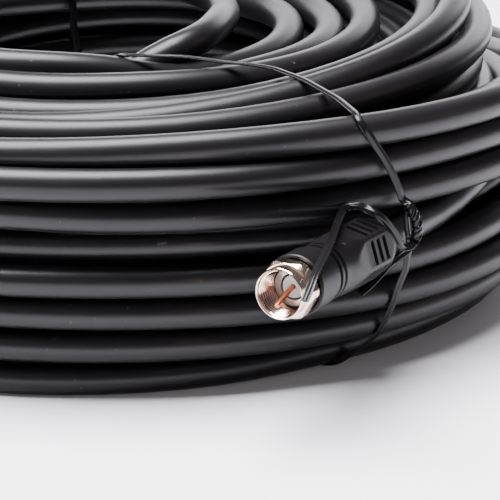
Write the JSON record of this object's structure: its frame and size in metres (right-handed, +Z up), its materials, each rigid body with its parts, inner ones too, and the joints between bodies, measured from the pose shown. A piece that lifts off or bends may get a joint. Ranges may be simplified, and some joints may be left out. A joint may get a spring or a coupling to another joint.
{
  "type": "coaxial cable coil",
  "caption": "Coil of black round coaxial cable lying flat, bound with wire twist ties, with a threaded connector and moulded boot on each end.",
  "frame": {"origin": "middle of the whole object's footprint, on the floor it lies on", "axes": "+Z up, along the coil's axis; -Y towards the side with the front connector"},
  "size_m": [0.212, 0.2504, 0.0613],
  "materials": {
    "cable_jacket": "satin black PVC jacket",
    "moulded_boot": "satin black moulded PVC",
    "tie_plastic": "glossy black plastic over a wire",
    "nickel_plate": "bright warm nickel plate",
    "post_plate": "plated flange",
    "white_insulation": "white foamed plastic",
    "copper_wire": "bare drawn copper"
  },
  "bodies": {
    "coil": {"cable_coil": "cable_jacket", "cable_tail_front": "cable_jacket", "cable_tail_back": "cable_jacket", "connector_post_front": "post_plate", "dielectric_front": "white_insulation", "centre_conductor_front": "copper_wire", "moulded_boot_front": "moulded_boot", "connector_post_back": "post_plate", "dielectric_back": "white_insulation", "centre_conductor_back": "copper_wire", "moulded_boot_back": "moulded_boot", "twist_tie_front": "tie_plastic", "twist_tie_back": "tie_plastic"},
    "nut_front": {"coupling_nut_front": "nickel_plate"},
    "nut_back": {"coupling_nut_back": "nickel_plate"}
  },
  "joints": [
    {"name": "front_nut_spin", "type": "hinge", "parent": "coil", "child": "nut_front", "pos_m": [0.03805, -0.11839, 0.0327], "axis": [-0.4769, -0.8783, 0.0349], "continuous": true},
    {"name": "back_nut_spin", "type": "hinge", "parent": "coil", "child": "nut_back", "pos_m": [-0.07089, 0.1163, 0.0327], "axis": [-0.9786, 0.2027, 0.0349], "continuous": true}
  ]
}
